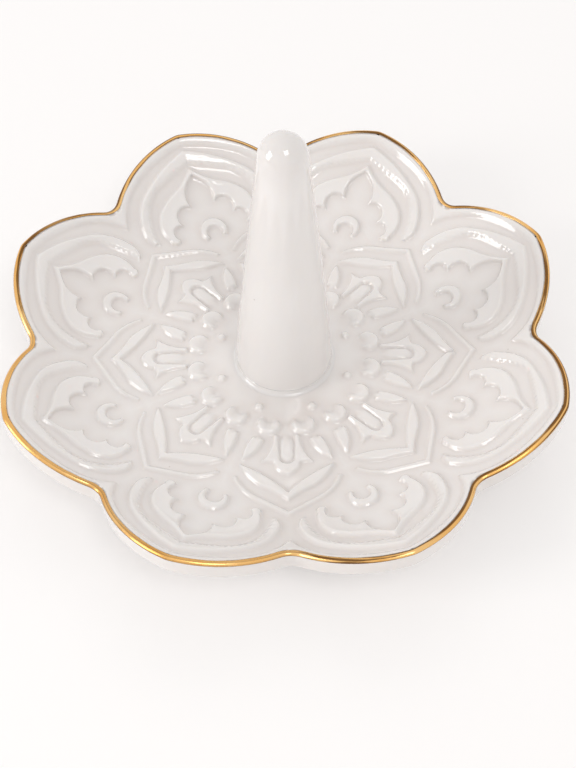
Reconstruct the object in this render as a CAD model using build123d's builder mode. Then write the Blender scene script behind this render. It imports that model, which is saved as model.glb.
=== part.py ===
from build123d import *
from math import asin, atan2, degrees, hypot, radians, tan
import os

os.makedirs("parts", exist_ok=True)

# Sizes of the dish, seen from above
lobes = 8                        # pointed petals round the rim, with a notch between each two
tip_radius = 47.0                # axis to the tip of a lobe
notch_radius = 41.1              # axis to the bottom of a notch
tip_curve = 3.4                  # radius of the rim's outline at a tip
side_curve = 21.2                # on each side of a lobe
notch_curve = 3.1                # and in a notch

# Sizes of the dish, in section
wall = 2.8                       # thickness of the floor and of the bowl's wall
floor_radius = 25.4              # the flat of the floor ends here and the wall starts to curve up
wall_curve = 25.5                # radius of the inside of that curve in section
wall_slope = 31.2                # slope of the flare above the curve, in degrees
border_height = 0.5              # plain border along the rim, raised above the bowl
border_width = 1.85
lip_round = 0.6                  # rounding of the lip's upper edge
lip_under_round = 0.8            # rounding of the lip's lower edge
foot_height = 2.0                # foot ring, below the underside of the floor
foot_outer_radius = 24.0
foot_width = 3.6
foot_taper = 0.6                 # how much each side of the foot ring slopes in towards the bottom
foot_round = 0.5
vent_diameter = 1.6              # lets the air out of the hollow cone when it is fired

# Sizes of the cone
cone_height = 49.6               # dish floor to the tip
cone_base_radius = 7.85
cone_shoulder_radius = 7.35      # the straight taper starts at the shoulder
cone_shoulder_height = 9.5       # above the dish floor
cone_tip_radius = 3.75
cone_wall = 2.4
cone_foot_round = 0.9
slip_thickness = 0.3             # clay slip between the cone and the floor

# Sizes of the gilding
gilt_width = 1.0                 # from the outer side of the lip to the gold's inner edge
gilt_depth = 0.55                # how far the gold's outer edge lies below the lip's surface

# Heights of the moulded relief above the bowl, and how deep it is bedded
band_height = 0.5
heart_height = 0.55
crescent_height = 0.5
chevron_height = 0.35
leaf_height = 0.5
tulip_height = 0.45
scallop_height = 0.9
bead_height = 0.5
scallop_ring_radius = 14.5       # ring of round domes near the cone, two to a lobe
scallop_radius = 1.8
bead_ring_radius = 11.1          # ring of small beads inside them, one to a lobe
bead_radius = 0.9
relief_root = 0.5
overrun = 6.0                    # how far a cutting shape runs past what it cuts

# Outlines seen from above, as (outward, sideways) shares of the tip radius: half of each motif, in arcs
# that each take a start, a middle and an end, which is the next arc's start
band_outside_shares = [
    (0.942, 0), (0.900, 0.101), (0.8365, 0.192), (0.763, 0.244), (0.687, 0.252), (0.6695, 0.2435), (0.652, 0.229),
]
band_inside_shares = [
    (0.651, 0.215), (0.7175, 0.2165), (0.790, 0.1965), (0.820, 0.173), (0.8425, 0.1445), (0.867, 0.089), (0.900, 0),
]
heart_outside_shares = [
    (0.880, 0), (0.850, 0.034), (0.812, 0.098), (0.792, 0.1315), (0.767, 0.160), (0.712, 0.1845), (0.651, 0.169),
]
heart_inside_shares = [
    (0.651, 0.169), (0.631, 0.142), (0.642, 0.133), (0.690, 0.1365), (0.694, 0.101), (0.751, 0.099), (0.755, 0.0465),
    (0.786, 0.052), (0.821, 0.0405), (0.840, 0.023), (0.858, 0),
]
crescent_outside_shares = [(0.693, 0), (0.664, 0.045), (0.611, 0.0373)]
crescent_inside_shares = [(0.615, 0.0255), (0.6455, 0.0263), (0.661, 0)]
chevron_outside_shares = [(0.672, 0), (0.6315, 0.061), (0.598, 0.113), (0.559, 0.153), (0.502, 0.181)]
chevron_inside_shares = [(0.504, 0.170), (0.553, 0.139), (0.585, 0.101), (0.616, 0.052), (0.651, 0)]
upper_leaf_outside_shares = [(0.603, 0), (0.580, 0.029), (0.5455, 0.088), (0.503, 0.131), (0.456, 0.158)]
upper_leaf_inside_shares = [(0.456, 0.158), (0.505, 0.073), (0.572, 0)]
lower_leaf_outside_shares = [(0.438, 0.151), (0.391, 0.139), (0.343, 0.112)]
lower_leaf_inside_shares = [(0.357, 0.079), (0.396, 0.098), (0.438, 0.151)]
tulip_outside_shares = [(0.496, 0), (0.450, 0.0405), (0.444, 0.080), (0.392, 0.050), (0.342, 0.0425)]
tulip_inside_shares = [(0.342, 0.0308), (0.391, 0.0288), (0.4345, 0.0266), (0.452, 0.0185), (0.459, 0)]
# Places that follow from the sizes
floor_top = foot_height + wall
curve_centre = floor_top + wall_curve
flare_reach = tip_radius + overrun
half_lobe = 180 / lobes
cone_foot = floor_top + slip_thickness
cone_tip = floor_top + cone_height


def arcs(shares):
    # A chain of arcs through an outline's points: start, middle, end, middle, end and so on
    points = [(tip_radius * outward, tip_radius * sideways) for outward, sideways in shares]
    for place in range(0, len(points) - 1, 2):
        ThreePointArc(*points[place : place + 3])
    return points[0], points[-1]


def motif(outside_shares, inside_shares, paired=False):
    # A closed motif that is symmetrical about the X axis, or one that stands on each side of it
    with BuildSketch() as shape:
        with BuildLine():
            end = arcs(outside_shares)[1]
            start = arcs(inside_shares)[0]
            if start != end:
                Line(end, start)
            if not paired:
                mirror(about=Plane.XZ)
        make_face()
        if paired:
            mirror(about=Plane.XZ)
    return shape.sketch


def lobe_half(inset, cusped):
    # Half of a lobe's outline, moved inwards, from its tip on the X axis to its notch: three arcs that
    # flow into each other, or two where the sides run on and meet in a cusp. Returns its end
    notch_line = Vector(1, 0).rotate(Axis.Z, half_lobe)
    tip_centre = Vector(tip_radius - tip_curve, 0)
    notch_centre = notch_line * (notch_radius + notch_curve)
    # The side's centre lies where two circles about the other two centres cross
    apart = notch_centre - tip_centre
    near, far = side_curve - tip_curve, side_curve + notch_curve
    along = (near**2 - far**2 + apart.length**2) / (2 * apart.length)
    across = Vector(-apart.Y, apart.X).normalized() * (near**2 - along**2) ** 0.5
    side_centre = tip_centre + apart.normalized() * along + across
    to_tip = (tip_centre - side_centre).normalized()
    to_notch = (notch_centre - side_centre).normalized()
    side = side_curve - inset
    join = side_centre + to_tip * side
    tip_middle = tip_centre + (to_tip + Vector(1, 0)).normalized() * (tip_curve - inset)
    ThreePointArc((tip_radius - inset, 0), tip_middle, join)
    end = side_centre + to_notch * side
    if cusped:
        level = side_centre.dot(notch_line)
        end = notch_line * (level + (side**2 - side_centre.length**2 + level**2) ** 0.5)
    middle = side_centre + ((join + end) / 2 - side_centre).normalized() * side
    ThreePointArc(join, middle, end)
    if cusped:
        return end
    bottom = notch_line * (notch_radius - inset)
    notch_middle = notch_centre - (to_notch + notch_line).normalized() * (notch_curve + inset)
    ThreePointArc(end, notch_middle, bottom)
    return bottom


def lobed(inset, cusped=False):
    # The whole outline of the dish, moved inwards, as a face
    with BuildSketch() as petal:
        with BuildLine():
            Line(lobe_half(inset, cusped), (0, 0))
            mirror(about=Plane.XZ)
        make_face()
    with BuildSketch() as whole:
        with PolarLocations(0, lobes, half_lobe):
            add(petal.sketch)
    return whole.sketch


def bowl_line(depth):
    # Half section of the bowl's inner surface, moved down by a depth
    Line((0, floor_top - depth), (floor_radius, floor_top - depth))
    curve = CenterArc((floor_radius, curve_centre), wall_curve + depth, -90, wall_slope)
    end = curve @ 1
    flare = Line(end, (flare_reach, end.Y + (flare_reach - end.X) * tan(radians(wall_slope))))
    return flare @ 1


def bowl_layer(upper, lower):
    # Closed section of the layer between two depths below the bowl's inner surface
    Line(bowl_line(upper), bowl_line(lower))
    Line((0, floor_top - upper), (0, floor_top - lower))


def moulded(shape, first_angle, height):
    # A motif repeated for each lobe, raised above the bowl's inner surface and bedded in it
    with BuildPart() as relief:
        with BuildSketch():
            with PolarLocations(0, lobes, first_angle):
                add(shape)
        extrude(amount=flare_reach)
        with BuildSketch(Plane.XZ):
            with BuildLine():
                bowl_layer(-height, relief_root)
            make_face()
        revolve(axis=Axis.Z, mode=Mode.INTERSECT)
    return relief.part


def domes(ring_radius, count, first_angle, radius, height):
    # A ring of low round domes on the dish floor
    ball = (radius**2 + height**2) / (2 * height)
    with BuildPart() as ring:
        with Locations((0, 0, floor_top + height - ball)):
            with PolarLocations(ring_radius, count, first_angle):
                Sphere(ball)
        split(bisect_by=Plane.XY.offset(floor_top - relief_root), keep=Keep.TOP)
    return ring.part


def cone_section(inset):
    # Half section of the cone, its surface moved inwards: a slight draft up to the shoulder, then a
    # straight taper that meets the round tip
    shoulder = Vector(cone_shoulder_radius - inset, floor_top + cone_shoulder_height)
    centre = Vector(0, cone_tip - cone_tip_radius)
    reach, rise = shoulder.X, centre.Y - shoulder.Y
    taper = degrees(atan2(reach, rise) - asin((cone_tip_radius - inset) / hypot(reach, rise)))
    tip = CenterArc(centre, cone_tip_radius - inset, taper, 90 - taper)
    Polyline((0, cone_foot), (cone_base_radius - inset, cone_foot), shoulder, tip @ 0)
    Line(tip @ 1, (0, cone_foot))


# Lobed blank: a thick bowl turned about the axis, cut to the rim's outline, with its lip rounded
with BuildPart() as blank:
    with BuildSketch(Plane.XZ):
        with BuildLine():
            bowl_layer(-border_height, wall)
        make_face()
    revolve(axis=Axis.Z)
    add(lobed(0))
    extrude(amount=flare_reach, mode=Mode.INTERSECT)
    sides = blank.faces().filter_by(GeomType.CYLINDER)
    fillet([side.edges().sort_by(Axis.Z)[-1] for side in sides], radius=lip_round)
    sides = blank.faces().filter_by(GeomType.CYLINDER)
    fillet([side.edges().sort_by(Axis.Z)[0] for side in sides], radius=lip_under_round)

# Gilt rim: the outermost edge of the lip
with BuildPart() as gilt_zone:
    with BuildSketch(Plane.XZ):
        with BuildLine():
            bowl_layer(-border_height - overrun, gilt_depth - border_height)
        make_face()
    revolve(axis=Axis.Z)
    add(lobed(gilt_width))
    extrude(amount=flare_reach + overrun, mode=Mode.SUBTRACT)

with BuildPart() as gilt_rim:
    add(blank.part)
    add(gilt_zone.part, mode=Mode.INTERSECT)

# Well of the bowl: everything above its inner surface, inside the border
with BuildPart() as well:
    add(lobed(border_width, cusped=True))
    extrude(amount=flare_reach)
    with BuildSketch(Plane.XZ):
        with BuildLine():
            bowl_layer(-border_height - overrun, 0)
        make_face()
    revolve(axis=Axis.Z, mode=Mode.INTERSECT)

# Moulded relief. In line with each lobe's tip: a broad band and, inside it, a scalloped heart over a
# crescent. In line with each notch: a chevron over two pairs of leaves, and a tulip that opens to the cone
band = motif(band_outside_shares, band_inside_shares)
heart = motif(heart_outside_shares, heart_inside_shares)
crescent = motif(crescent_outside_shares, crescent_inside_shares)
chevron = motif(chevron_outside_shares, chevron_inside_shares)
upper_leaves = motif(upper_leaf_outside_shares, upper_leaf_inside_shares)
lower_leaves = motif(lower_leaf_outside_shares, lower_leaf_inside_shares, paired=True)
tulip = motif(tulip_outside_shares, tulip_inside_shares)
reliefs = [
    moulded(band, half_lobe, band_height),
    moulded(heart, half_lobe, heart_height),
    moulded(crescent, half_lobe, crescent_height),
    moulded(chevron, 0, chevron_height),
    moulded(upper_leaves, 0, leaf_height),
    moulded(lower_leaves, 0, leaf_height),
    moulded(tulip, 0, tulip_height),
    domes(scallop_ring_radius, 2 * lobes, half_lobe / 2, scallop_radius, scallop_height),
    domes(bead_ring_radius, lobes, half_lobe, bead_radius, bead_height),
]

# Foot ring under the dish
with BuildPart() as foot_ring:
    foot_inner_radius = foot_outer_radius - foot_width
    foot_root = foot_height + wall / 2
    with BuildSketch(Plane.XZ):
        with BuildLine():
            Polyline(
                (foot_outer_radius, foot_root),
                (foot_outer_radius, foot_height),
                (foot_outer_radius - foot_taper, 0),
                (foot_inner_radius + foot_taper, 0),
                (foot_inner_radius, foot_height),
                (foot_inner_radius, foot_root),
                close=True,
            )
        make_face()
    revolve(axis=Axis.Z)
    fillet(foot_ring.edges().group_by(Axis.Z)[0], radius=foot_round)

# Dish: one casting, with the relief moulded in its bowl
with BuildPart() as dish_body:
    add(blank.part)
    add(gilt_zone.part, mode=Mode.SUBTRACT)
    add(well.part, mode=Mode.SUBTRACT)
    add(foot_ring.part)
    add(reliefs)
    with Locations((0, 0, floor_top - wall / 2)):
        Cylinder(vent_diameter / 2, wall + overrun, mode=Mode.SUBTRACT)

# Cone: slip-cast, so a shell with a round tip and an open foot
with BuildPart() as ring_cone:
    with BuildSketch(Plane.XZ):
        with BuildLine():
            cone_section(0)
        make_face()
    revolve(axis=Axis.Z)
    fillet(ring_cone.edges().group_by(Axis.Z)[0], radius=cone_foot_round)
    with BuildSketch(Plane.XZ):
        with BuildLine():
            cone_section(cone_wall)
        make_face()
    revolve(axis=Axis.Z, mode=Mode.SUBTRACT)

# Slip joint: the ring of clay slip that holds the cone's foot on the floor
with BuildPart() as slip_joint:
    with BuildSketch(Plane.XY.offset(floor_top)):
        Circle(cone_base_radius - cone_foot_round)
        Circle(cone_base_radius - cone_wall, mode=Mode.SUBTRACT)
    extrude(amount=slip_thickness)

dish_body.part.label = "dish_body"
ring_cone.part.label = "ring_cone"
slip_joint.part.label = "slip_joint"
gilt_rim.part.label = "gilt_rim"

export_step(dish_body.part, "parts/dish_body.step")
export_step(ring_cone.part, "parts/ring_cone.step")
export_step(slip_joint.part, "parts/slip_joint.step")
export_step(gilt_rim.part, "parts/gilt_rim.step")
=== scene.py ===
import math

import bmesh
import bpy
import numpy as np
from mathutils import Matrix, Vector


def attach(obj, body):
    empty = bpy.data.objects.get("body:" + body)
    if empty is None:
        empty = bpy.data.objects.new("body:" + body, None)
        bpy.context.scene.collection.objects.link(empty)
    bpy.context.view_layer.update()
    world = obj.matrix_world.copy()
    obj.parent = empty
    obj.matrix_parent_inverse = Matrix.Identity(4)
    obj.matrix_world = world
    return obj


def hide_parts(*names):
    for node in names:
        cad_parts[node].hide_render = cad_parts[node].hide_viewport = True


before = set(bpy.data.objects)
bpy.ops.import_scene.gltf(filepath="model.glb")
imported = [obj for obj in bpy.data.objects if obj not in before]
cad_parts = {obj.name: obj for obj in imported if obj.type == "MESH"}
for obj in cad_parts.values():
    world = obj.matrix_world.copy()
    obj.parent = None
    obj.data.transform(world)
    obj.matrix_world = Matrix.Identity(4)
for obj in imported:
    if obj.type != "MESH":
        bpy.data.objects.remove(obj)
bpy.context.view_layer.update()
mm = 0.001
touching = 0.001 * mm       # nearer than this is the same place
print("frame loaded")

# What the photograph was taken with: the camera's place over the dish and its lens
cameraView = {
    "place": (-3.21 * mm, -160.8 * mm, 209.8 * mm),
    "tilt": 37.12,      # degrees from straight down
    "turn": -1.38,      # degrees about the upright
    "roll": -0.1,
    "lens": 74.18,      # for a 36 mm long side
}

camera = bpy.data.objects.new("camera", bpy.data.cameras.new("camera"))
bpy.context.scene.collection.objects.link(camera)
bpy.context.scene.camera = camera
camera.location = cameraView["place"]
aim = Matrix.Rotation(math.radians(cameraView["turn"]), 3, "Z")
aim = aim @ Matrix.Rotation(math.radians(cameraView["tilt"]), 3, "X")
aim = aim @ Matrix.Rotation(math.radians(cameraView["roll"]), 3, "Z")
camera.rotation_euler = aim.to_euler()
camera.data.lens = cameraView["lens"]
camera.data.clip_start = 0.01
camera.data.clip_end = 20
print("camera placed")

# Sizes that the whole dish shares
dish = {
    "lobes": 8,
    "tipRadius": 47.0 * mm,
    "notchRadius": 41.1 * mm,
    "tipCurve": 3.4 * mm,        # the rim's outline at a tip, along a side and in a notch
    "sideCurve": 21.2 * mm,
    "notchCurve": 3.1 * mm,
    "meanRadius": 44.05 * mm,    # rim of the round dish that the lobes are drawn from
    "floorTop": 4.8 * mm,
    "floorRadius": 25.4 * mm,
    "wallCurve": 25.5 * mm,
    "wallSlope": math.radians(31.2),
    "wall": 2.8 * mm,
    "borderHeight": 0.5 * mm,
    "lipRound": 0.6 * mm,
    "lipUnderRound": 0.8 * mm,
    "lobingStart": 27.0 * mm,    # the lobes show from here outwards
    "lobingFull": 41.0 * mm,
    "lobingDepth": 3.0 * mm,     # the rim's outline is moved inwards up to this far
    "ventRadius": 0.8 * mm,
    "plainRadius": 7.0 * mm,     # the cone covers the floor inside this
    "steps": 320,                # round the dish
    "ring": 0.75 * mm,           # spacing of the rings on the bowl's inside
    "underRing": 2.8 * mm,       # and under it
    "lipRings": 8,
    "underLipRings": 6,
    "lipReach": 1.8 * mm,        # the lip has twice the steps, this far in from the rim
}

# Foot ring under the dish
foot = {
    "height": 2.0 * mm,
    "outerRadius": 24.0 * mm,
    "width": 3.6 * mm,
    "taper": 0.6 * mm,
    "round": 0.5 * mm,
    "roundRings": 4,
    "middleRings": 6,            # inside it, on the plain underside
}

lobeAngle = 2 * math.pi / dish["lobes"]
slopeSin = math.sin(dish["wallSlope"])
slopeCos = math.cos(dish["wallSlope"])


def smooth(share):
    # Soft step from 0 to 1
    share = np.clip(share, 0, 1)
    return share * share * (3 - 2 * share)


def ramp(value, low, high):
    # Soft step from 0 at one value to 1 at another
    return smooth((value - low) / (high - low))


def folded(angle, first):
    # Angle from the nearest of the lines that repeat for each lobe, the first of them at an angle
    turn = np.mod(angle - first, lobeAngle)
    return np.minimum(turn, lobeAngle - turn)


def outlineArcs():
    # Centres of the three arcs of half a lobe, with the lobe's tip on the X axis
    notchLine = np.array([math.cos(lobeAngle / 2), math.sin(lobeAngle / 2)])
    tipCentre = np.array([dish["tipRadius"] - dish["tipCurve"], 0])
    notchCentre = notchLine * (dish["notchRadius"] + dish["notchCurve"])
    apart = notchCentre - tipCentre
    span = np.linalg.norm(apart)
    near = dish["sideCurve"] - dish["tipCurve"]
    far = dish["sideCurve"] + dish["notchCurve"]
    along = (near**2 - far**2 + span**2) / (2 * span)
    across = np.array([-apart[1], apart[0]]) / span
    sideCentre = tipCentre + apart / span * along + across * math.sqrt(near**2 - along**2)
    return tipCentre, sideCentre, notchCentre


tipCentre, sideCentre, notchCentre = outlineArcs()


def lobeRadius(angle, inset):
    # Distance from the axis to the rim's outline moved inwards, at each angle
    turn = folded(angle, lobeAngle / 2)
    way = np.stack([np.cos(turn), np.sin(turn)], axis=-1)

    def crossing(centre, radius, side):
        level = way @ centre
        return level + side * np.sqrt(np.maximum(radius**2 - centre @ centre + level**2, 0))

    def joinAngle(centre):
        line = (centre - sideCentre) / np.linalg.norm(centre - sideCentre)
        join = sideCentre + line * (dish["sideCurve"] - inset)[..., None]
        return np.arctan2(join[..., 1], join[..., 0])

    inset = np.broadcast_to(inset, turn.shape)
    tip = crossing(tipCentre, dish["tipCurve"] - inset, 1)
    side = crossing(sideCentre, dish["sideCurve"] - inset, 1)
    notch = crossing(notchCentre, dish["notchCurve"] + inset, -1)
    return np.where(turn < joinAngle(tipCentre), tip, np.where(turn < joinAngle(notchCentre), side, notch))


def bowlHeight(radius):
    # Height of the bowl's inside over the table, at a distance from the axis
    reach = np.maximum(radius - dish["floorRadius"], 0)
    bend = dish["wallCurve"] * slopeSin
    curve = dish["wallCurve"] - np.sqrt(dish["wallCurve"] ** 2 - np.minimum(reach, bend) ** 2)
    return dish["floorTop"] + curve + np.maximum(reach - bend, 0) * slopeSin / slopeCos


def lobed(points):
    # Draws the round dish out into its lobes: the rim follows the outline, the floor stays round
    radius = np.hypot(points[:, 0], points[:, 1])
    angle = np.arctan2(points[:, 1], points[:, 0])
    inset = np.clip(dish["meanRadius"] - radius, 0, dish["lobingDepth"])
    share = ramp(radius, dish["lobingStart"], dish["lobingFull"])
    new = radius + share * (lobeRadius(angle, inset) - dish["meanRadius"] + inset)
    height = points[:, 2] + bowlHeight(new) - bowlHeight(radius)
    return np.stack([new * np.cos(angle), new * np.sin(angle), height], axis=1)


# Moulded relief, seen from above, as (outward, sideways) shares of the tip radius. Each chain is half of a
# motif and is made of arcs through three points. A motif lies on a lobe or between two. Its slopes are as
# wide as given, and its ribs are grooves in the inner one, as deep as that share of its height
motifs = {
    "band": {
        "onLobe": True, "height": 0.55 * mm, "outerSlope": 0.62 * mm, "innerSlope": 1.3 * mm, "ribs": 0.24,
        "outer": [
            (0.942, 0), (0.900, 0.101), (0.8365, 0.192), (0.763, 0.244), (0.687, 0.252),
            (0.6695, 0.2435), (0.652, 0.229),
        ],
        "inner": [
            (0.651, 0.215), (0.7175, 0.2165), (0.790, 0.1965), (0.820, 0.173), (0.8425, 0.1445),
            (0.867, 0.089), (0.900, 0),
        ],
    },
    "heart": {
        "onLobe": True, "height": 0.55 * mm, "outerSlope": 0.6 * mm, "innerSlope": 0.42 * mm, "ribs": 0,
        "outer": [
            (0.880, 0), (0.850, 0.034), (0.812, 0.098), (0.792, 0.1315), (0.767, 0.160),
            (0.712, 0.1845), (0.651, 0.169),
        ],
        "inner": [
            (0.651, 0.169), (0.631, 0.142), (0.642, 0.133), (0.690, 0.1365), (0.694, 0.101),
            (0.751, 0.099), (0.755, 0.0465), (0.786, 0.052), (0.821, 0.0405), (0.840, 0.023), (0.858, 0),
        ],
    },
    "crescent": {
        "onLobe": True, "height": 0.52 * mm, "outerSlope": 0.55 * mm, "innerSlope": 0.45 * mm, "ribs": 0,
        "outer": [(0.693, 0), (0.664, 0.045), (0.611, 0.0373)],
        "inner": [(0.615, 0.0255), (0.6455, 0.0263), (0.661, 0)],
    },
    "chevron": {
        "onLobe": False, "height": 0.36 * mm, "outerSlope": 0.5 * mm, "innerSlope": 0.8 * mm, "ribs": 0.1,
        "outer": [(0.672, 0), (0.6315, 0.061), (0.598, 0.113), (0.559, 0.153), (0.502, 0.181)],
        "inner": [(0.504, 0.170), (0.553, 0.139), (0.585, 0.101), (0.616, 0.052), (0.651, 0)],
    },
    "upperLeaf": {
        "onLobe": False, "height": 0.5 * mm, "outerSlope": 0.5 * mm, "innerSlope": 0.5 * mm, "ribs": 0,
        "outer": [(0.603, 0), (0.580, 0.029), (0.5455, 0.088), (0.503, 0.131), (0.456, 0.158)],
        "inner": [(0.456, 0.158), (0.505, 0.073), (0.572, 0)],
    },
    "lowerLeaf": {
        "onLobe": False, "height": 0.5 * mm, "outerSlope": 0.5 * mm, "innerSlope": 0.5 * mm, "ribs": 0,
        "outer": [(0.438, 0.151), (0.391, 0.139), (0.343, 0.112)],
        "inner": [(0.357, 0.079), (0.396, 0.098), (0.438, 0.151)],
    },
    "tulip": {
        "onLobe": False, "height": 0.46 * mm, "outerSlope": 0.5 * mm, "innerSlope": 0.5 * mm, "ribs": 0,
        "outer": [
            (0.501, 0), (0.483, 0.0295), (0.452, 0.0435), (0.446, 0.061), (0.447, 0.085),
            (0.395, 0.0525), (0.342, 0.0435),
        ],
        "inner": [(0.342, 0.029), (0.388, 0.028), (0.431, 0.0262), (0.4485, 0.0185), (0.456, 0)],
    },
}
relief = {
    "border": [                 # inner edge of the raised border, on half of a lobe
        (0.9627, 0), (0.942, 0.080), (0.902, 0.170), (0.844, 0.250), (0.8085, 0.277), (0.768, 0.295),
        (0.733, 0.3036),
    ],
    "borderSlope": 0.8 * mm,
    "arcPoints": 9,             # points along each arc of an outline
    "margin": 1.2 * mm,         # each motif is worked out this far round it
    "ribPitch": 0.95 * mm,
    "ribFade": 1.3,             # how quickly the ribs end at the top of their slope
    "crest": 0.14,              # soft ridge inside a motif's edges, as a share of its height
    "crestReach": 0.36 * mm,    # how far in from the edge it stands
    "shadeReach": 2.2 * mm,      # painted shade darkens the floor this near to a form's foot
    "shadeOnFloor": 0.2,           # how dark the painted shade is, on the plain floor and next to a form
    "shadeAtFoot": 0.55,
    "divideFrom": 8.0 * mm,     # the mesh gets finer near the relief's edges, from this radius outwards
    "divisions": ((0.6 * mm, 0.42 * mm), (0.22 * mm, 0.26 * mm)),     # how near, and down to what length
}
oval = {                        # in the middle of each tulip
    "height": 0.4 * mm,
    "from": 0.372,              # centres of its round ends, as shares of the tip radius
    "to": 0.422,
    "radius": 0.95 * mm,
    "slope": 0.45 * mm,
}
scallop = {                     # two to a lobe, in a ring round the cone, each open towards it
    "height": 0.7 * mm,
    "ring": 14.2 * mm,
    "radius": 2.15 * mm,
    "slope": 0.33,              # share of its radius
    "middle": 0.68,             # height of its hollow middle, as a share of its own
    "hollow": (0.15, 0.60),     # where the hollow ends, in shares of its radius
    "ends": (1.55, 2.85),       # where it sinks towards the cone, as angles from straight outwards
}
bead = {                        # one to a lobe, in a ring inside the scallops
    "height": 0.48 * mm,
    "ring": 11.1 * mm,
    "radius": 0.9 * mm,
    "slope": 2 / 3,             # share of its radius
}


def arcThrough(start, middle, end):
    # Points along the arc through three points, without its last
    (ax, ay), (bx, by), (cx, cy) = start, middle, end
    twice = 2 * (ax * (by - cy) + bx * (cy - ay) + cx * (ay - by))
    aa, bb, cc = ax**2 + ay**2, bx**2 + by**2, cx**2 + cy**2
    x = (aa * (by - cy) + bb * (cy - ay) + cc * (ay - by)) / twice
    y = (aa * (cx - bx) + bb * (ax - cx) + cc * (bx - ax)) / twice
    radius = math.hypot(ax - x, ay - y)
    first = math.atan2(ay - y, ax - x)
    way = 1 if twice > 0 else -1
    sweep = way * ((way * (math.atan2(cy - y, cx - x) - first)) % (2 * math.pi))
    turns = first + sweep * np.arange(relief["arcPoints"]) / relief["arcPoints"]
    return np.stack([x + radius * np.cos(turns), y + radius * np.sin(turns)], axis=1)


def chainPoints(chain):
    # Points along a chain of arcs, in metres
    pieces = [arcThrough(*chain[place:place + 3]) for place in range(0, len(chain) - 1, 2)]
    return np.concatenate(pieces + [np.array(chain[-1:])]) * dish["tipRadius"]


def nearest(points, line):
    # Distance from each point to a line of straight runs, and how far along the line its nearest place is
    best = np.full(len(points), 1.0)
    place = np.zeros(len(points))
    walked = 0.0
    for start, end in zip(line[:-1], line[1:]):
        run = end - start
        length = np.linalg.norm(run)
        if length == 0:
            continue
        share = np.clip((points - start) @ run / length**2, 0, 1)
        gap = np.hypot(*(points - start - share[:, None] * run).T)
        closer = gap < best
        best = np.where(closer, gap, best)
        place = np.where(closer, walked + share * length, place)
        walked += length
    return best, place


def inside(points, line):
    # Whether each point lies inside the closed line
    x, y = points.T
    odd = np.zeros(len(points), bool)
    for (ax, ay), (bx, by) in zip(line, np.roll(line, -1, axis=0)):
        if ay == by:
            continue
        crosses = ((ay > y) != (by > y)) & (x < (bx - ax) * (y - ay) / (by - ay) + ax)
        odd ^= crosses
    return odd


outlines = {
    name: (chainPoints(motif["outer"]), chainPoints(motif["inner"])) for name, motif in motifs.items()
}
borderLine = chainPoints(relief["border"])
borderTurns = np.arctan2(borderLine[:, 1], borderLine[:, 0])
borderReach = np.hypot(*borderLine.T)


def motifRise(spots, name):
    # Height of one motif at points near it, as a share of its own, and how near its closest edge is
    motif = motifs[name]
    outer, inner = outlines[name]
    outerGap, _ = nearest(spots, outer)
    innerGap, along = nearest(spots, inner)
    gap = np.minimum(outerGap, innerGap)
    outerShare, innerShare = outerGap / motif["outerSlope"], innerGap / motif["innerSlope"]
    within = smooth(0.5 + outerShare) * smooth(0.5 + innerShare)
    rib = motif["ribs"] * (0.5 - 0.5 * np.cos(2 * math.pi * along / relief["ribPitch"]))
    within *= 1 - rib * smooth(relief["ribFade"] * (1 - innerShare))
    within *= 1 + relief["crest"] * smooth(1 - np.abs(gap / relief["crestReach"] - 1))
    past = np.where(outerGap < innerGap, smooth(0.5 - outerShare), smooth(0.5 - innerShare))
    return np.where(inside(spots, np.concatenate([outer, inner])), within, past), gap


def reliefAt(points):
    # Height of the relief over the bowl at points seen from above, and how near the closest edge of it is
    radius = np.hypot(*points.T)
    angle = np.arctan2(points[:, 1], points[:, 0])
    lobeTurn = folded(angle, lobeAngle / 2)
    frames = {}
    for onLobe, turn in ((True, lobeTurn), (False, folded(angle, 0))):
        frames[onLobe] = np.stack([radius * np.cos(turn), radius * np.sin(turn)], axis=1)
    edge, _ = nearest(frames[True], borderLine)
    beyond = radius > np.interp(lobeTurn, borderTurns, borderReach)
    signed = np.where(beyond, edge, -edge)
    height = dish["borderHeight"] * smooth(0.5 + signed / relief["borderSlope"])
    for name, motif in motifs.items():
        flat = frames[motif["onLobe"]]
        ends = np.concatenate(outlines[name])
        low, high = ends.min(axis=0) - relief["margin"], ends.max(axis=0) + relief["margin"]
        near = (flat[:, 0] > low[0]) & (flat[:, 0] < high[0]) & (flat[:, 1] < high[1])
        rise, gap = motifRise(flat[near], name)
        height[near] = np.maximum(height[near], motif["height"] * rise)
        edge[near] = np.minimum(edge[near], gap)
    flat = frames[False]
    core = np.clip(flat[:, 0], oval["from"] * dish["tipRadius"], oval["to"] * dish["tipRadius"])
    gap = oval["radius"] - np.hypot(flat[:, 0] - core, flat[:, 1])
    height = np.maximum(height, oval["height"] * smooth(0.5 + gap / oval["slope"]))
    scallopTurn = np.mod(angle, lobeAngle / 2) - lobeAngle / 4
    x, y = radius * np.cos(scallopTurn) - scallop["ring"], radius * np.sin(scallopTurn)
    away = np.hypot(x, y) / scallop["radius"]
    rise = smooth((1 - away) / scallop["slope"])
    rise *= scallop["middle"] + (1 - scallop["middle"]) * ramp(away, *scallop["hollow"])
    rise *= 1 - ramp(np.arctan2(np.abs(y), x), *scallop["ends"])
    height = np.maximum(height, scallop["height"] * rise)
    edge = np.minimum(edge, np.abs(away - 0.8) * scallop["radius"])
    away = np.hypot(radius * np.cos(lobeTurn) - bead["ring"], radius * np.sin(lobeTurn)) / bead["radius"]
    height = np.maximum(height, bead["height"] * smooth((1 - away) / bead["slope"]))
    edge = np.minimum(edge, np.abs(away - 0.6) * bead["radius"])
    return height, edge


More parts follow.
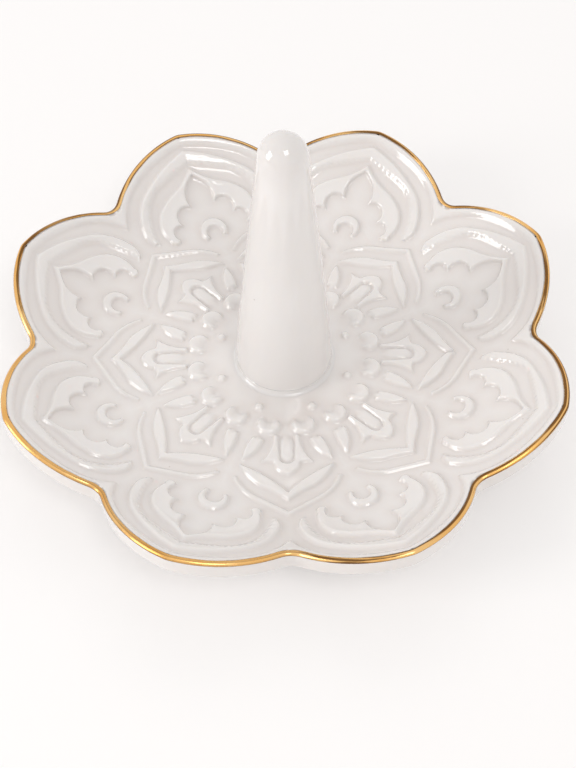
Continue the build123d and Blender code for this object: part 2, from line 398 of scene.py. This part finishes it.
def lineTo(bm, tip, place, rings):
    # Draws a section on in a straight line, divided into rings
    step = (Vector((place[0], 0, place[1])) - tip.co) / rings
    for ring in range(rings):
        tip = bmesh.ops.extrude_vert_indiv(bm, verts=[tip])["verts"][0]
        bmesh.ops.translate(bm, verts=[tip], vec=step)
    return tip


def arcTo(bm, tip, centre, sweep, rings):
    # Draws a section on round a centre; a positive sweep turns from outwards to upwards
    turned = bmesh.ops.spin(
        bm, geom=[tip], cent=(centre[0], 0, centre[1]), axis=(0, 1, 0), dvec=(0, 0, 0), angle=-sweep,
        steps=rings, use_merge=False, use_duplicate=False,
    )
    return next(item for item in turned["geom_last"] if isinstance(item, bmesh.types.BMVert))


def turnSection(bm, steps):
    # Turns the section about the cone's axis into a closed shell, with its faces outwards
    bmesh.ops.spin(
        bm, geom=bm.verts[:] + bm.edges[:], cent=(0, 0, 0), axis=(0, 0, 1), dvec=(0, 0, 0),
        angle=2 * math.pi, steps=steps, use_merge=True, use_duplicate=False,
    )
    bmesh.ops.remove_doubles(bm, verts=bm.verts[:], dist=0.0001 * mm)
    bmesh.ops.recalc_face_normals(bm, faces=bm.faces[:])


def roundCorners(bm, corners, offset, rings):
    # Rounds corners of a section before it is turned
    bmesh.ops.bevel(
        bm, geom=corners, offset=offset, offset_type="OFFSET", affect="VERTICES", segments=rings,
        profile=0.5, material=-1,
    )


def ringsFor(length, spacing):
    return max(1, round(length / spacing))


def finishPiece(bm, name):
    # Makes the piece's object, smooth all over
    for face in bm.faces:
        face.smooth = True
    mesh = bpy.data.meshes.new(name)
    bm.to_mesh(mesh)
    bm.free()
    piece = bpy.data.objects.new(name, mesh)
    bpy.context.scene.collection.objects.link(piece)
    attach(piece, "root")
    return piece


def meshPoints(mesh):
    points = np.empty(len(mesh.vertices) * 3)
    mesh.vertices.foreach_get("co", points)
    return points.reshape(-1, 3)


def setPoints(mesh, points):
    mesh.vertices.foreach_set("co", points.ravel())
    mesh.update()


def setAttribute(mesh, name, values):
    layer = mesh.attributes.new(name, "FLOAT", "POINT")
    layer.data.foreach_set("value", np.asarray(values, dtype=np.float32))


# The lip's section on the round dish: its top is the raised border's, and its side is upright
rim = dish["meanRadius"]
lipCentre = (
    rim - dish["lipRound"],
    float(bowlHeight(rim - dish["lipRound"])) + (dish["borderHeight"] - dish["lipRound"]) / slopeCos,
)
underCentre = (
    rim - dish["lipUnderRound"],
    float(bowlHeight(rim - dish["lipUnderRound"])) + (dish["lipUnderRound"] - dish["wall"]) / slopeCos,
)
lipStart = (
    lipCentre[0] - slopeSin * dish["lipRound"], lipCentre[1] + slopeCos * dish["lipRound"],
)
bowlEnd = (
    lipStart[0] + slopeSin * dish["borderHeight"], lipStart[1] - slopeCos * dish["borderHeight"],
)


def makeDish():
    bm = bmesh.new()
    ring, underRing = dish["ring"], dish["underRing"]
    plain, floor, slope = dish["plainRadius"], dish["floorRadius"], dish["wallSlope"]
    top, bottom = dish["floorTop"], foot["height"]
    bowlCentre = (floor, top + dish["wallCurve"])
    start = bm.verts.new((dish["ventRadius"], 0, top))
    tip = lineTo(bm, start, (plain, top), 4)
    tip = lineTo(bm, tip, (floor, top), ringsFor(floor - plain, ring))
    tip = arcTo(bm, tip, bowlCentre, slope, ringsFor(dish["wallCurve"] * slope, ring))
    tip = lineTo(bm, tip, bowlEnd, ringsFor((bowlEnd[0] - tip.co.x) / slopeCos, ring))
    tip = lineTo(bm, tip, lipStart, 1)
    tip = arcTo(bm, tip, lipCentre, -math.pi / 2 - slope, dish["lipRings"])
    tip = lineTo(bm, tip, (rim, underCentre[1]), 2)
    tip = arcTo(bm, tip, underCentre, slope - math.pi / 2, dish["underLipRings"])
    underCurve = dish["wallCurve"] + dish["wall"]
    bendEnd = (bowlCentre[0] + underCurve * slopeSin, bowlCentre[1] - underCurve * slopeCos)
    tip = lineTo(bm, tip, bendEnd, ringsFor((tip.co.x - bendEnd[0]) / slopeCos, underRing))
    tip = arcTo(bm, tip, bowlCentre, -slope, ringsFor(underCurve * slope, underRing))
    tip = lineTo(bm, tip, (foot["outerRadius"], bottom), 1)
    footCorners = [tip]
    inner = foot["outerRadius"] - foot["width"]
    footLine = ((foot["outerRadius"] - foot["taper"], 0), (inner + foot["taper"], 0), (inner, bottom))
    for place in footLine:
        tip = lineTo(bm, tip, place, 1)
        footCorners.append(tip)
    tip = lineTo(bm, tip, (dish["ventRadius"], bottom), foot["middleRings"])
    bm.edges.new((tip, start))
    roundCorners(bm, footCorners, foot["round"], foot["roundRings"])
    turnSection(bm, dish["steps"])
    lipEdges = [line for line in bm.edges if roundTheLip(line)]
    bmesh.ops.subdivide_edges(bm, edges=lipEdges, cuts=1, use_grid_fill=True)
    for reach, longest in relief["divisions"]:
        divideNear(bm, reach, longest)
    piece = finishPiece(bm, "dishBody")
    shapeDish(piece)
    return piece


def roundTheLip(line):
    # Whether an edge runs round the lip, where the gold lies and has twice the steps
    a, b = (vert.co for vert in line.verts)
    level = abs(a.z - b.z) < touching and abs(a.xy.length - b.xy.length) < touching
    outside = a.xy.length > rim - dish["lipReach"] and a.z > underCentre[1] - dish["lipUnderRound"]
    return level and outside


def onBowl(points):
    # Whether points of the round dish lie on the bowl's inside, or within a flat face's sag of it
    radius = np.hypot(points[:, 0], points[:, 1])
    return (np.abs(points[:, 2] - bowlHeight(radius)) < 20 * touching) & (radius < bowlEnd[0] + 10 * touching)


def divideNear(bm, reach, longest):
    # Halves the edges near the relief's own edges, so that its slopes have enough faces
    bm.verts.index_update()
    points = np.array([vert.co for vert in bm.verts])
    spread = lobed(points)
    _, edge = reliefAt(spread[:, :2])
    radius = np.hypot(points[:, 0], points[:, 1])
    wanted = (edge < reach) & onBowl(points) & (radius > relief["divideFrom"])
    chosen = []
    for line in bm.edges:
        a, b = line.verts[0].index, line.verts[1].index
        if (wanted[a] or wanted[b]) and line.calc_length() > longest:
            chosen.append(line)
    bmesh.ops.subdivide_edges(bm, edges=chosen, cuts=1, use_grid_fill=True)


def shapeDish(piece):
    # Draws the dish out into its lobes, raises its relief and stores the painted shade of its recesses
    mesh = piece.data
    points = meshPoints(mesh)
    bowl = onBowl(points)
    spread = lobed(points)
    height = np.zeros(len(points))
    edge = np.full(len(points), 1.0)
    height[bowl], edge[bowl] = reliefAt(spread[bowl, :2])
    # Painted shade: the low parts are darker than the raised forms, most of all near a form's foot
    low = smooth(1 - height / dish["borderHeight"])
    paintedShade = low * (relief["shadeOnFloor"] + relief["shadeAtFoot"] * smooth(1 - edge / relief["shadeReach"]))
    radius = np.hypot(spread[:, 0], spread[:, 1])
    lean = np.clip((radius - dish["floorRadius"]) / dish["wallCurve"], 0, slopeSin)
    inwards = -spread[:, :2] / np.maximum(radius, 1e-9)[:, None]
    spread[:, :2] += inwards * (height * lean)[:, None]
    spread[:, 2] += height * np.sqrt(1 - lean**2)
    setPoints(mesh, spread)
    setAttribute(mesh, "paintedShade", paintedShade)
    print("dish made,", sum(len(face.vertices) - 2 for face in mesh.polygons), "triangles")


dishBody = makeDish()
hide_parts("dish_body")

# Gold along the lip: a skin that is bedded in the glaze
gilt = {
    "inset": 0.85 * mm,      # from the rim's outline to the gold's inner edge
    "lowEdge": math.radians(25),     # where it ends on the lip's round, over the level
    "proud": 0.02 * mm,
    "depth": 0.12 * mm,
    "waver": 0.07 * mm,      # how far its inner edge strays
    "waverReach": (0.6 * mm, 1.0 * mm),     # it strays from the first depth inwards, and fully at the second
    "waves": ((5, 0.4), (13, 1.9), (31, 4.1), (67, 2.6)),     # how many go round the rim, and their phases
}


def makeGilt():
    bm = bmesh.new()
    outer, inner = dish["lipRound"] + gilt["proud"], dish["lipRound"] - gilt["depth"]
    low = gilt["lowEdge"]
    sweep = math.pi / 2 + dish["wallSlope"] - low
    back = max(0, gilt["inset"] - (rim - lipStart[0])) / slopeCos

    def onLip(radius, setBack):
        outward = lipCentre[0] - slopeSin * radius - slopeCos * setBack
        return outward, lipCentre[1] + slopeCos * radius - slopeSin * setBack

    start = onLip(outer, back)
    first = bm.verts.new((start[0], 0, start[1]))
    tip = first
    if back > 0:
        tip = lineTo(bm, tip, onLip(outer, 0), 3)
    tip = arcTo(bm, tip, lipCentre, -sweep, 9)
    tip = lineTo(bm, tip, (lipCentre[0] + inner * math.cos(low), lipCentre[1] + inner * math.sin(low)), 1)
    tip = arcTo(bm, tip, lipCentre, sweep, 5)
    if back > 0:
        tip = lineTo(bm, tip, onLip(inner, back), 2)
    bm.edges.new((tip, first))
    turnSection(bm, 2 * dish["steps"])
    piece = finishPiece(bm, "giltRim")
    mesh = piece.data
    points = meshPoints(mesh)
    radius = np.hypot(points[:, 0], points[:, 1])
    angle = np.arctan2(points[:, 1], points[:, 0])
    stray = sum(math.cos(phase) * np.sin(count * angle + phase) for count, phase in gilt["waves"])
    near, far = gilt["waverReach"]
    shift = np.clip((rim - radius - near) / (far - near), 0, 1) * stray * gilt["waver"] / 2
    points[:, :2] *= (1 + shift / radius)[:, None]
    points[:, 2] += shift * slopeSin / slopeCos
    side = np.clip((radius - lipStart[0]) / (rim - lipStart[0]), 0, 1)
    setPoints(mesh, lobed(points))
    setAttribute(mesh, "lipSide", side)
    return piece


giltRim = makeGilt()
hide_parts("gilt_rim")
print("gilt rim made")

# Upright cone, hollow, with a round tip
cone = {
    "foot": 5.1 * mm,            # over the table: the floor and the slip under it
    "tip": 54.4 * mm,
    "baseRadius": 7.85 * mm,
    "shoulderRadius": 7.35 * mm,
    "shoulder": 14.3 * mm,       # over the table
    "tipRadius": 3.75 * mm,
    "wall": 2.4 * mm,
    "footRound": 0.9 * mm,
    "shadeFrom": 45.0 * mm,      # painted shade darkens the glaze from here to the tip
    "steps": 160,
}


def makeCone():
    bm = bmesh.new()
    centre = (0, cone["tip"] - cone["tipRadius"])
    wall, low, footRound = cone["wall"], cone["foot"], cone["footRound"]

    def taper(inset):
        # Angle over the level at which the side meets the round tip
        reach, rise = cone["shoulderRadius"] - inset, centre[1] - cone["shoulder"]
        return math.atan2(reach, rise) - math.asin((cone["tipRadius"] - inset) / math.hypot(reach, rise))

    lean = taper(0)
    start = bm.verts.new((cone["baseRadius"] - wall, 0, low))
    tip = lineTo(bm, start, (cone["baseRadius"] - footRound, low), 1)
    tip = arcTo(bm, tip, (cone["baseRadius"] - footRound, low + footRound), math.pi / 2, 6)
    tip = lineTo(bm, tip, (cone["shoulderRadius"], cone["shoulder"]), 7)
    join = (cone["tipRadius"] * math.cos(lean), centre[1] + cone["tipRadius"] * math.sin(lean))
    tip = lineTo(bm, tip, join, 28)
    tip = arcTo(bm, tip, centre, math.pi / 2 - lean, 12)
    hollowTop = bm.verts.new((0, 0, cone["tip"] - wall))
    back = arcTo(bm, hollowTop, centre, taper(wall) - math.pi / 2, 5)
    back = lineTo(bm, back, (cone["shoulderRadius"] - wall, cone["shoulder"]), 10)
    back = lineTo(bm, back, (cone["baseRadius"] - wall, low), 3)
    turnSection(bm, cone["steps"])
    piece = finishPiece(bm, "ringCone")
    heights = meshPoints(piece.data)[:, 2]
    # Painted shade: the tip grows darker from the shade's start upwards
    setAttribute(piece.data, "paintedShade", ramp(heights, cone["shadeFrom"], cone["tip"]))
    return piece


ringCone = makeCone()
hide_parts("ring_cone")
print("cone made")

# Slip and glaze drawn up into the corner between the cone and the floor
joint = {
    "innerRadius": 5.45 * mm,
    "outerRadius": 8.35 * mm,
    "rise": 0.78 * mm,           # up the cone's side, over the floor
    "bed": 0.1 * mm,             # how deep it lies in the floor's glaze
    "edge": 0.03 * mm,           # thickness of its outer edge over the floor
    "hollow": 0.1 * mm,          # height of the corner that is rounded, and its place outside the cone
    "hollowOut": 0.02 * mm,
    "hollowRound": 0.42 * mm,
    "hollowRings": 6,
    "tuck": 0.15 * mm,           # how far its top reaches into the cone's side
    "steps": 160,
}


def makeJoint():
    bm = bmesh.new()
    top = dish["floorTop"]
    start = bm.verts.new((joint["innerRadius"], 0, top - joint["bed"]))
    tip = lineTo(bm, start, (joint["outerRadius"], top - joint["bed"]), 3)
    tip = lineTo(bm, tip, (joint["outerRadius"], top + joint["edge"]), 1)
    tip = lineTo(bm, tip, (cone["baseRadius"] + joint["hollowOut"], top + joint["hollow"]), 1)
    hollow = tip
    tip = lineTo(bm, tip, (cone["baseRadius"] - joint["tuck"], top + joint["rise"]), 1)
    tip = lineTo(bm, tip, (joint["innerRadius"], cone["foot"]), 2)
    bm.edges.new((tip, start))
    roundCorners(bm, [hollow], joint["hollowRound"], joint["hollowRings"])
    turnSection(bm, joint["steps"])
    return finishPiece(bm, "slipJoint")


slipJoint = makeJoint()
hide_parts("slip_joint")
print("slip joint made")


def newMaterial(name):
    material = bpy.data.materials.new(name)
    material.use_nodes = True
    nodes = material.node_tree.nodes
    return material, nodes, material.node_tree.links, nodes["Principled BSDF"]


def noiseNode(nodes, links, scale, detail, source):
    noise = nodes.new("ShaderNodeTexNoise")
    noise.inputs["Scale"].default_value = scale
    noise.inputs["Detail"].default_value = detail
    links.new(source, noise.inputs["Vector"])
    return noise.outputs["Fac"]


def rangeNode(nodes, links, source, low, high, newLow, newHigh):
    spread = nodes.new("ShaderNodeMapRange")
    for label, value in (("From Min", low), ("From Max", high), ("To Min", newLow), ("To Max", newHigh)):
        spread.inputs[label].default_value = value
    links.new(source, spread.inputs["Value"])
    return spread.outputs["Result"]


def mathNode(nodes, links, operation, first, second):
    step = nodes.new("ShaderNodeMath")
    step.operation = operation
    links.new(first, step.inputs[0])
    links.new(second, step.inputs[1])
    return step.outputs[0]


def attributeNode(nodes, name):
    stored = nodes.new("ShaderNodeAttribute")
    stored.attribute_name = name
    return stored.outputs["Fac"]


def mixColour(nodes, links, share, first, second):
    mix = nodes.new("ShaderNodeMix")
    mix.data_type = "RGBA"
    links.new(share, mix.inputs["Factor"])
    for socket, colour in ((mix.inputs[6], first), (mix.inputs[7], second)):     # colours A and B
        if isinstance(colour, tuple):
            socket.default_value = (*colour, 1)
        else:
            links.new(colour, socket)
    return mix.outputs[2]


# Warm white glaze, with painted shade that is darker and warmer in the recesses round the relief and on the
# cone's tip, random clouds of tone, a faint swell and a few pits. The scales are those of Blender's textures
glaze = {
    "dish": ((0.815, 0.785, 0.765), (0.735, 0.68, 0.65)),      # its light tone, and its dark tone, for random clouds and for painted shade
    "cone": ((0.835, 0.81, 0.795), (0.745, 0.71, 0.69)),
    "cloudScale": 55,
    "clouds": 0.35,              # how far its tone strays at random from the light tone to the dark
    "shadeDepth": 0.8,                # and how far the painted shade takes it at its darkest
    "pit": (0.45, 0.38, 0.33),
    "pitScale": 110,
    "pitSize": (0.008, 0.02),    # in cells: its middle, and where it ends
    "pitDepth": 0.55,
    "rough": (0.06, 0.11),
    "roughScale": 160,
    "swell": 0.05,
    "swellScale": 240,
    "coat": 1.0,
    "coatRough": 0.05,
    "softness": 0.12,
    "softRadius": (1.0, 0.8, 0.6),
    "softDepth": 1.2 * mm,
}


def glazeMaterial(name, tones):
    material, nodes, links, shader = newMaterial(name)
    place = nodes.new("ShaderNodeTexCoord").outputs["Object"]
    clouds = noiseNode(nodes, links, glaze["cloudScale"], 3, place)
    clouds = rangeNode(nodes, links, clouds, 0.3, 0.7, 0, glaze["clouds"])
    # Painted shade, read from the stored attribute, darkens and warms the tone
    shaded = rangeNode(nodes, links, attributeNode(nodes, "paintedShade"), 0, 1, 0, glaze["shadeDepth"])
    colour = mixColour(nodes, links, mathNode(nodes, links, "ADD", shaded, clouds), *tones)
    pits = nodes.new("ShaderNodeTexVoronoi")
    pits.inputs["Scale"].default_value = glaze["pitScale"]
    links.new(place, pits.inputs["Vector"])
    pit = rangeNode(nodes, links, pits.outputs["Distance"], *glaze["pitSize"], glaze["pitDepth"], 0)
    links.new(mixColour(nodes, links, pit, colour, glaze["pit"]), shader.inputs["Base Color"])
    grain = noiseNode(nodes, links, glaze["roughScale"], 4, place)
    links.new(rangeNode(nodes, links, grain, 0.3, 0.7, *glaze["rough"]), shader.inputs["Roughness"])
    bump = nodes.new("ShaderNodeBump")
    bump.inputs["Strength"].default_value = glaze["swell"]
    bump.inputs["Distance"].default_value = 1 * mm
    links.new(noiseNode(nodes, links, glaze["swellScale"], 2, place), bump.inputs["Height"])
    links.new(bump.outputs["Normal"], shader.inputs["Normal"])
    shader.inputs["Coat Weight"].default_value = glaze["coat"]
    shader.inputs["Coat Roughness"].default_value = glaze["coatRough"]
    shader.inputs["Subsurface Weight"].default_value = glaze["softness"]
    shader.inputs["Subsurface Radius"].default_value = glaze["softRadius"]
    shader.inputs["Subsurface Scale"].default_value = glaze["softDepth"]
    return material


# Fired gold: bright and paler in clouds, worn to brown in streaks along the rim and at its outer edge
gold = {
    "bright": (0.77, 0.41, 0.12),
    "pale": (0.85, 0.54, 0.23),
    "cloudScale": 90,
    "brown": (0.15, 0.06, 0.014),
    "streakAlong": 70,           # scale of the streaks along the rim, and across it
    "streakAcross": 2.2,
    "streakDepth": 0.92,
    "patchScale": 28,            # the streaks come in patches
    "edge": (0.90, 0.99),        # where the outer edge wears, as shares of the lip's width
    "edgeScale": 45,
    "edgeDepth": 0.9,
    "rough": (0.16, 0.34),
    "roughScale": 700,
}


def goldMaterial():
    material, nodes, links, shader = newMaterial("giltEdge")
    place = nodes.new("ShaderNodeTexCoord").outputs["Object"]
    side = attributeNode(nodes, "lipSide")

    def cloud(scale, detail, low, high, depth=1.0, source=place):
        return rangeNode(nodes, links, noiseNode(nodes, links, scale, detail, source), low, high, 0, depth)

    colour = mixColour(
        nodes, links, cloud(gold["cloudScale"], 3, 0.35, 0.65), gold["bright"], gold["pale"],
    )
    spread = nodes.new("ShaderNodeSeparateXYZ")
    links.new(place, spread.inputs[0])
    stretched = nodes.new("ShaderNodeCombineXYZ")
    for source, scale, axis in (
        (spread.outputs["X"], gold["streakAlong"], "X"),
        (spread.outputs["Y"], gold["streakAlong"], "Y"),
        (side, gold["streakAcross"], "Z"),
    ):
        links.new(rangeNode(nodes, links, source, 0, 1, 0, scale), stretched.inputs[axis])
    streaks = cloud(1, 4, 0.47, 0.53, gold["streakDepth"], stretched.outputs[0])
    streaks = mathNode(nodes, links, "MULTIPLY", cloud(gold["patchScale"], 2, 0.34, 0.48), streaks)
    edge = rangeNode(nodes, links, side, *gold["edge"], 0, gold["edgeDepth"])
    edge = mathNode(nodes, links, "MULTIPLY", edge, cloud(gold["edgeScale"], 3, 0.44, 0.54))
    worn = mathNode(nodes, links, "MAXIMUM", streaks, edge)
    links.new(mixColour(nodes, links, worn, colour, gold["brown"]), shader.inputs["Base Color"])
    grain = noiseNode(nodes, links, gold["roughScale"], 3, place)
    links.new(rangeNode(nodes, links, grain, 0.3, 0.7, *gold["rough"]), shader.inputs["Roughness"])
    shader.inputs["Metallic"].default_value = 1
    return material


dishBody.data.materials.append(glazeMaterial("dishGlaze", glaze["dish"]))
ringCone.data.materials.append(glazeMaterial("coneGlaze", glaze["cone"]))
slipJoint.data.materials.append(glazeMaterial("slipGlaze", glaze["dish"]))
giltRim.data.materials.append(goldMaterial())
print("materials made")

# Floor, light and background
studio = {
    "floorReach": 12.0,         # from its middle to a side
    "floorColour": (0.96, 0.935, 0.925),
    "floorRough": 0.6,
    "floorGlow": 0.30,          # share of plain white that the camera sees in the floor
    "worldColour": (1.0, 0.99, 0.982),
    "worldStrength": (0.90, 0.68),     # at the horizon and overhead
    "lampColour": (1.0, 0.99, 0.98),
    "lamps": {                  # glossy: whether the glaze mirrors it
        "skylight": {"place": (0.02, 0.62, 0.58), "size": (0.80, 0.40), "power": 0.75, "glossy": False},
        "softbox": {"place": (0.145, -0.30, 0.57), "size": (0.22, 0.22), "power": 0.62, "glossy": True},
        "window": {"place": (-0.53, -0.155, 0.25), "size": (0.22, 0.32), "power": 0.98, "glossy": True},
    },
}


def seenDirectly(nodes, links):
    # 1 for what the camera sees, straight or in a shiny surface
    path = nodes.new("ShaderNodeLightPath")
    total = path.outputs["Is Camera Ray"]
    for label in ("Is Glossy Ray", "Is Transmission Ray"):
        total = mathNode(nodes, links, "MAXIMUM", total, path.outputs[label])
    return total


def makeFloor():
    bm = bmesh.new()
    bmesh.ops.create_grid(bm, x_segments=8, y_segments=8, size=studio["floorReach"])
    mesh = bpy.data.meshes.new("floor")
    bm.to_mesh(mesh)
    bm.free()
    floor = bpy.data.objects.new("floor", mesh)
    bpy.context.scene.collection.objects.link(floor)
    material, nodes, links, shader = newMaterial("paleFloor")
    shader.inputs["Base Color"].default_value = (*studio["floorColour"], 1)
    shader.inputs["Roughness"].default_value = studio["floorRough"]
    glow = nodes.new("ShaderNodeEmission")
    mix = nodes.new("ShaderNodeMixShader")
    share = rangeNode(nodes, links, seenDirectly(nodes, links), 0, 1, 0, studio["floorGlow"])
    links.new(share, mix.inputs["Fac"])
    links.new(shader.outputs["BSDF"], mix.inputs[1])
    links.new(glow.outputs["Emission"], mix.inputs[2])
    links.new(mix.outputs["Shader"], nodes["Material Output"].inputs["Surface"])
    mesh.materials.append(material)


def makeWorld():
    world = bpy.data.worlds.new("studio")
    bpy.context.scene.world = world
    world.use_nodes = True
    nodes, links = world.node_tree.nodes, world.node_tree.links
    soft = nodes["Background"]
    soft.inputs["Color"].default_value = (*studio["worldColour"], 1)
    way = nodes.new("ShaderNodeSeparateXYZ")
    links.new(nodes.new("ShaderNodeTexCoord").outputs["Generated"], way.inputs[0])
    strength = rangeNode(nodes, links, way.outputs["Z"], 0, 1, *studio["worldStrength"])
    links.new(strength, soft.inputs["Strength"])
    white = nodes.new("ShaderNodeBackground")
    white.inputs["Color"].default_value = (1, 1, 1, 1)
    mix = nodes.new("ShaderNodeMixShader")
    links.new(seenDirectly(nodes, links), mix.inputs["Fac"])
    links.new(soft.outputs["Background"], mix.inputs[1])
    links.new(white.outputs["Background"], mix.inputs[2])
    links.new(mix.outputs["Shader"], nodes["World Output"].inputs["Surface"])


def makeLamps():
    for name, lamp in studio["lamps"].items():
        light = bpy.data.lights.new(name, "AREA")
        light.shape = "RECTANGLE"
        light.size, light.size_y = lamp["size"]
        light.energy = lamp["power"]
        light.color = studio["lampColour"]
        holder = bpy.data.objects.new(name, light)
        holder.location = lamp["place"]
        holder.rotation_euler = (-Vector(lamp["place"])).to_track_quat("-Z", "Y").to_euler()
        holder.visible_glossy = lamp["glossy"]
        bpy.context.scene.collection.objects.link(holder)


makeFloor()
makeWorld()
makeLamps()
bpy.context.scene.view_settings.view_transform = "Standard"
print("floor, world and lamps made")
